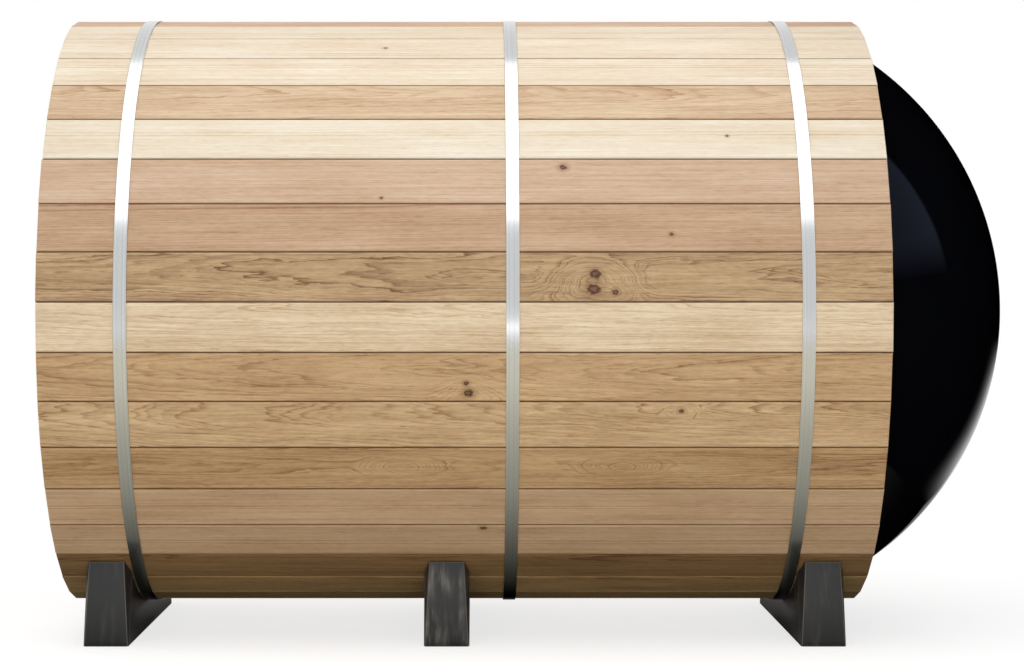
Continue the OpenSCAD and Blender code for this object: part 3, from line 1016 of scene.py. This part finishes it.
def mitred_bead(k):
    """One of the four beads: 0 at the front, 1 at the top, 2 at the back, 3 at the bottom."""
    middle, whole = (bead_low + bead_high) / 2, bead_high - bead_low
    span = whole.y if k % 2 else whole.z
    inward = 1 if k < 2 else -1
    work = box(span, BEAD_W, whole.x)
    for end in (-1, 1):
        saw_off(work, (end * span / 2, -inward * BEAD_W / 2, 0), (end, inward, 0))
    weld(work, 0.005 * MM)
    ease(work, work.edges[:], ARRIS, 2)
    grain(work, "rose", 360 + k)
    edge = [bead_low.y + BEAD_W / 2, bead_high.z - BEAD_W / 2, bead_high.y - BEAD_W / 2,
        bead_low.z + BEAD_W / 2][k]
    if k % 2:
        place = at_wall(LEVEL, middle.y, edge, bead_low.x)
    else:
        place = at_wall(UPRIGHT, edge, middle.z, bead_low.x)
    return finish_mesh(work, f"bead_{k}", CEDAR, place)


beads = join("wood_door_glass_beads", [mitred_bead(k) for k in range(4)])
stand_for(beads, "door_glass_beads")

# %% [markdown]
# ## The glass
#
# The door's pane is bronze tinted float glass. It is a plain slab, so the CAD node itself stays and
# only gets a glass surface, with a faint waviness too weak to see except in what it reflects.

# %% The glass material
def glass_material():
    """Bronze tinted float glass."""
    made, tree, surface = material("bronze_float_glass")
    place = (add(tree, "TexCoord"), "Object")
    waves = add(tree, "TexNoise", {"Vector": place, "Scale": 6, "Detail": 1})
    bump = add(tree, "Bump", {"Strength": 0.02, "Distance": 1 * MM, "Height": (waves, "Fac")})
    tint = add(tree, "MixRGB", [(waves, "Fac"), linear("#8d7863"), linear("#87735f")])
    feed(surface, {"Base Color": tint, "Normal": bump, "Transmission Weight": 1, "Roughness": 0.01,
        "IOR": 1.52})
    return made


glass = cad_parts["door_glass"]
glass.data.materials.clear()
glass.data.materials.append(glass_material())
print(glass.name, "keeps its CAD shape")

# %% [markdown]
# ## Hinges and pull
#
# Each butt hinge has five knuckles on a pin, with a plate on the leaf and a plate on the jamb, and
# three screws in each plate. The knuckles are short turned cylinders, and a plate is a slab whose
# corners are rounded.

# %% The hinges
hinge_low, hinge_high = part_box("door_hinges")
HINGE_Y = (hinge_low.y + hinge_high.y) / 2
HINGE_H = 90 * MM
KNUCKLES = 5
KNUCKLE_R = 8 * MM
KNUCKLE_GAP = 0.5 * MM
PLATE_T = 3 * MM
PLATE_W = hinge_high.y - HINGE_Y


def hinge(work, height):
    """Adds one butt hinge, its pin upright at a height."""
    made = []
    each = HINGE_H / KNUCKLES
    for k in range(KNUCKLES):
        start = (0, -HINGE_H / 2 + k * each + KNUCKLE_GAP / 2, 0)
        made += turned(work, KNUCKLE_R, start, each - KNUCKLE_GAP)
    made += turned(work, KNUCKLE_R * 0.6, (0, KNUCKLE_GAP - HINGE_H / 2, 0), HINGE_H - 1 * MM)
    turn(work, 90, "X", made)
    move(work, (-KNUCKLE_R, 0, 0), made)
    for side in (-1, 1):
        plate = bmesh.ops.create_cube(work, size=1)["verts"]
        stretch(work, (PLATE_T, PLATE_W - 1 * MM, HINGE_H), plate)
        corners = [e for e in {e for v in plate for e in v.link_edges}
            if abs(e.verts[0].co.x - e.verts[1].co.x) > PLATE_T / 2]
        rounded = bevel(work, corners, 3 * MM, 3)
        plate = [v for v in set(plate) | set(rounded["verts"]) if v.is_valid]
        move(work, (-PLATE_T / 2, side * (PLATE_W + 1 * MM) / 2, 0), plate)
        made += plate
        for level in (-1, 0, 1):
            head = bmesh.ops.create_uvsphere(work, u_segments=12, v_segments=6, radius=4 * MM)["verts"]
            stretch(work, (0.3, 1, 1), head)
            move(work, (-PLATE_T, side * PLATE_W * 0.62, level * HINGE_H * 0.34), head)
            made += head
    move(work, (hinge_high.x, HINGE_Y, height), made)


work = bmesh.new()
for height in (hinge_low.z + HINGE_H / 2, (hinge_low.z + hinge_high.z) / 2,
        hinge_high.z - HINGE_H / 2):
    hinge(work, height)
face_outwards(work)
stand_for(finish_mesh(work, "steel_door_hinges", STEEL), "door_hinges", 35)

# %% [markdown]
# The pull is a turned cedar bar on two short posts. It is made lying in a board's own frame, so
# that the grain can be written along it, and is stood up with the rest of the joinery.

# %% The pull
pull_low, pull_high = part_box("door_handle")
PULL_R = (pull_high.y - pull_low.y) / 2
PULL_H = pull_high.z - pull_low.z
POST_INSET = 50 * MM

work = bmesh.new()
turned(work, PULL_R, (0, -PULL_H / 2, 0), PULL_H, 32, 5 * MM)
turn(work, -90, "Z")
for side in (-1, 1):
    post = turned(work, PULL_R * 0.6, (0, 0, 0), pull_high.x - pull_low.x - PULL_R)
    turn(work, -90, "X", post)
    move(work, (side * (PULL_H / 2 - POST_INSET), 0, 0), post)
face_outwards(work)
grain(work, "smooth", 370)
middle = (pull_low + pull_high) / 2
pull = finish_mesh(work, "wood_door_handle", CEDAR,
    at_wall(UPRIGHT, middle.y, middle.z, pull_low.x + PULL_R))
stand_for(pull, "door_handle", 35)

# %% [markdown]
# ## The stage
#
# A wide overhead softbox lights the top of the barrel most and lets the light fall off towards its
# belly. Weaker lights fill the shade in front, at the back and at the door. The fills don't show in
# gloss, so the steel keeps one clean highlight from the softbox and one from a low strip. A light's
# power is worked out from its radiance and its size.

# %% Lights
def area_light(name, place, aim, size, radiance, in_gloss):
    """A rectangular studio light that shines from a place towards a point."""
    data = bpy.data.lights.new(name, "AREA")
    data.shape = "RECTANGLE"
    data.size, data.size_y = size
    data.energy = radiance * math.pi * size[0] * size[1]
    light = bpy.data.objects.new(name, data)
    bpy.context.collection.objects.link(light)
    light.location = place
    light.rotation_euler = (Vector(aim) - Vector(place)).to_track_quat("-Z", "Y").to_euler()
    light.visible_camera = False
    light.visible_glossy = in_gloss


area_light("overhead_softbox", (X_MID, -2.8, 5), (X_MID, -2.8, 0), (7, 7.2), 1.2, True)
area_light("front_fill", (X_MID, -9.5, 1.1), (X_MID, 0, 0.9), (8, 2.2), 5.4, False)
area_light("back_fill", (X_MID, 9.5, 2.2), (X_MID, 0, 1), (8, 3), 4.0, False)
area_light("door_fill", (-9.0, 1.5, 1.8), (X_DOOR, 0, 1), (3.5, 3), 5.0, False)
area_light("low_front_strip", (X_MID, -7.6, 0.2), (X_MID, 0, 0.9), (3, 0.35), 2.0, True)
print(len(bpy.data.lights), "lights")

# %% [markdown]
# In a studio, black and white boards stand round a glossy object to choose what it reflects. Here
# four black boards box the dome in and keep it dark, a glowing pale blue board puts the glint on its
# shoulder, and a glowing white one lights the lower edge. One on the floor glows bright far from the
# barrel and fades dark under it, a painted reflection of the lit floor with the barrel's shadow
# painted in, and so shades the steel bands from their middle to the ground.

# %% Boards for the reflections
FLAG_X, FLAG_FRONT, FLAG_BACK, FLAG_TOP = X_TIP + 0.3, -1.2, 1.0, 2.6
IN_FRONT = 10 * MM


def board(name, low, high, colour="#000000", level=0, fades=()):
    """A flat board between two corners that only shows in reflections. Its glow dies away along
    each axis that fades names, as (axis, dark place, bright place)."""
    work = bmesh.new()
    bmesh.ops.create_grid(work, x_segments=1, y_segments=1, size=0.5)
    size = Vector(high) - Vector(low)
    if size.x == 0:
        turn(work, 90, "Y")
    if size.y == 0:
        turn(work, 90, "X")
    stretch(work, [c or 1 for c in size])
    move(work, (Vector(low) + Vector(high)) / 2)
    finish, tree, surface = material(name, "Emission")
    place = add(tree, "SeparateXYZ", [(add(tree, "TexCoord"), "Object")])
    glow = level
    for axis, dark, bright in fades:
        part = add(tree, "MapRange", [(place, axis), dark, bright], **SMOOTH)
        glow = add(tree, "Math", [part, glow], operation="MULTIPLY")
    feed(surface, {"Color": linear(colour), "Strength": glow})
    made = finish_mesh(work, name, finish)
    made.visible_camera = made.visible_diffuse = made.visible_shadow = False
    made.visible_transmission = False


corner = (FLAG_X, FLAG_BACK, FLAG_TOP)
board("flag_side", (FLAG_X, FLAG_FRONT, IN_FRONT), corner)
board("flag_back", (X_DOME, FLAG_BACK, 0.85), corner)
board("flag_top", (X_DOME, FLAG_FRONT, FLAG_TOP), corner)
board("flag_floor", (X_DOME, FLAG_FRONT, IN_FRONT), (FLAG_X, FLAG_BACK, IN_FRONT))
near_x = FLAG_X - IN_FRONT
board("navy_board", (near_x, FLAG_FRONT, 1.2), (near_x, -0.5, 2.2), "#97a4c6", 0.9,
    [("Y", -0.5, -0.54), ("Z", 1.15, 1.45)])
board("low_side_board", (near_x, 0.05, IN_FRONT), (near_x, FLAG_BACK, 0.9), "#ffffff", 0.75,
    [("Y", 0.05, 0.7), ("Z", 0.9, 0.65), ("Z", 0.0, 0.4)])
# a painted shadow: this board's glow fades to dark under the barrel, and only reflections see it
board("front_floor_board", (-2.2, -4.8, 0.012), (1.7, 0.1, 0.012), "#fffbe6", 0.92,
    [("Y", -0.05, -1.0), ("Y", 0.75, -2.8)])
print("boards stand round the dome and in front of the barrel")

# %% [markdown]
# The camera, glossy rays and see-through rays find a plain white world, and everything else gets a
# dim grey from it: the backdrop is white without more light on the sauna. The floor works the same
# way. It is pale near the sauna, keeps its shadow, and fades into the white further out.

# %% World and floor
def seen_directly(rays):
    """1 for rays from the camera, a reflection or a see-through surface, and 0 for the rest."""
    seen = (rays, "Is Camera Ray")
    for kind in ("Is Glossy Ray", "Is Transmission Ray"):
        seen = add(rays.id_data, "Math", [seen, (rays, kind)], operation="MAXIMUM")
    return seen


world = bpy.data.worlds.new("studio")
bpy.context.scene.world = world
world.use_nodes = True
tree = world.node_tree
tree.nodes.clear()
seen = seen_directly(add(tree, "LightPath"))
level = add(tree, "MapRange", {"Value": seen, "To Min": 0.3, "To Max": 1.0})
background = add(tree, "Background", {"Color": linear("#ffffff"), "Strength": level})
add(tree, "OutputWorld", {"Surface": background})

FLOOR_R = 40
finish, tree, surface = material("studio_floor", "MixShader")
rays = add(tree, "LightPath")
seen = seen_directly(rays)
paint = add(tree, "BsdfDiffuse", {"Color": linear("#b4b4b4")})
lift = add(tree, "Math", [(rays, "Is Camera Ray"), 0.73], operation="MULTIPLY")
lift = add(tree, "Emission", {"Color": linear("#ffffff"), "Strength": lift})
away = add(tree, "VectorMath", [(add(tree, "TexCoord"), "Object")], operation="LENGTH")
fade = add(tree, "MapRange", [(away, "Value"), 2.2, 4.5], **SMOOTH)
fade = add(tree, "Math", [fade, seen], operation="MULTIPLY")
white = add(tree, "Emission", {"Color": linear("#ffffff"), "Strength": 1.0})
feed(surface, [fade, add(tree, "AddShader", [paint, lift]), white])

work = bmesh.new()
bmesh.ops.create_circle(work, cap_ends=True, segments=96, radius=FLOOR_R)
finish_mesh(work, "studio_floor", finish)
bpy.context.scene.view_settings.view_transform = "Standard"
print("the floor reaches", FLOOR_R, "metres out")
